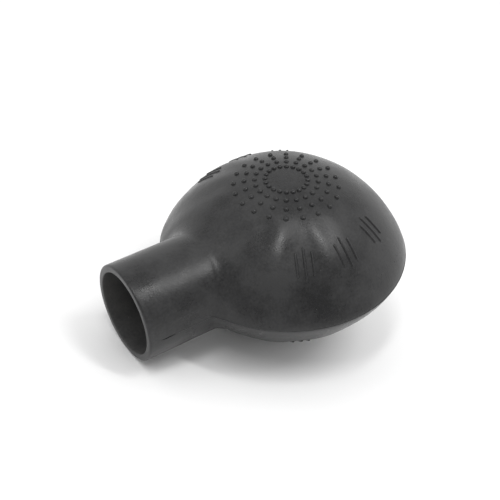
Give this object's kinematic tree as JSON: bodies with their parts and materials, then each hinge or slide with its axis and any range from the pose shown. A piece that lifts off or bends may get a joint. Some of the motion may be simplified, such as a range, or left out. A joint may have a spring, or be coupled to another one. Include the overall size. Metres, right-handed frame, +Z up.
{
  "type": "dust blower bulb",
  "caption": "Lens-shaped black rubber squeeze bulb with an open tubular neck, raised grip dots and ribs; squeezed between thumb and fingers it puffs air through the neck.",
  "frame": {"origin": "middle of the footprint box, on the surface the bulb lies on", "axes": "+Z up in the rest pose, lying on the lower grip dots and on the rim of the neck; the open neck points to -X and dips by 12.7 degrees; the line through the two crowns leans from +Z toward -X by the same angle"},
  "size_m": [0.0878, 0.0704, 0.0494],
  "materials": {
    "bulb_rubber": "satin moulded black rubber with a soft bloom",
    "neck_rubber": "satin moulded black rubber, polished along the neck by handling",
    "relief_rubber": "satin black rubber, raised relief worn a little smoother on top",
    "seam_rubber": "thin trimmed rubber flash, slightly rough"
  },
  "bodies": {
    "bulb": {"mouth_lip": "neck_rubber", "neck_sleeve": "neck_rubber", "neck_root": "neck_rubber", "seam_band": "bulb_rubber", "upper_wall": "bulb_rubber", "lower_wall": "bulb_rubber", "upper_front_ribs": "relief_rubber", "upper_back_ribs": "relief_rubber", "lower_front_ribs": "relief_rubber", "lower_back_ribs": "relief_rubber", "equator_bead": "seam_rubber", "neck_bead_front": "seam_rubber", "neck_bead_back": "seam_rubber"},
    "upper_pad": {"upper_thumb_pad": "bulb_rubber", "upper_grip_dots": "relief_rubber"},
    "lower_pad": {"lower_finger_pad": "bulb_rubber", "lower_grip_dots": "relief_rubber"}
  },
  "joints": [
    {"name": "upper_squeeze", "type": "slide", "parent": "bulb", "child": "upper_pad", "axis": [0.2202, 0, -0.9755], "range_m": [0, 0.015], "stiffness_N_per_m": 900, "deforming": ["upper_wall"]},
    {"name": "lower_squeeze", "type": "slide", "parent": "bulb", "child": "lower_pad", "axis": [-0.2202, 0, 0.9755], "range_m": [0, 0.015], "stiffness_N_per_m": 900, "deforming": ["lower_wall"]}
  ],
  "couplings": [
    {"joint": "lower_squeeze", "follows": "upper_squeeze", "ratio": 1}
  ]
}
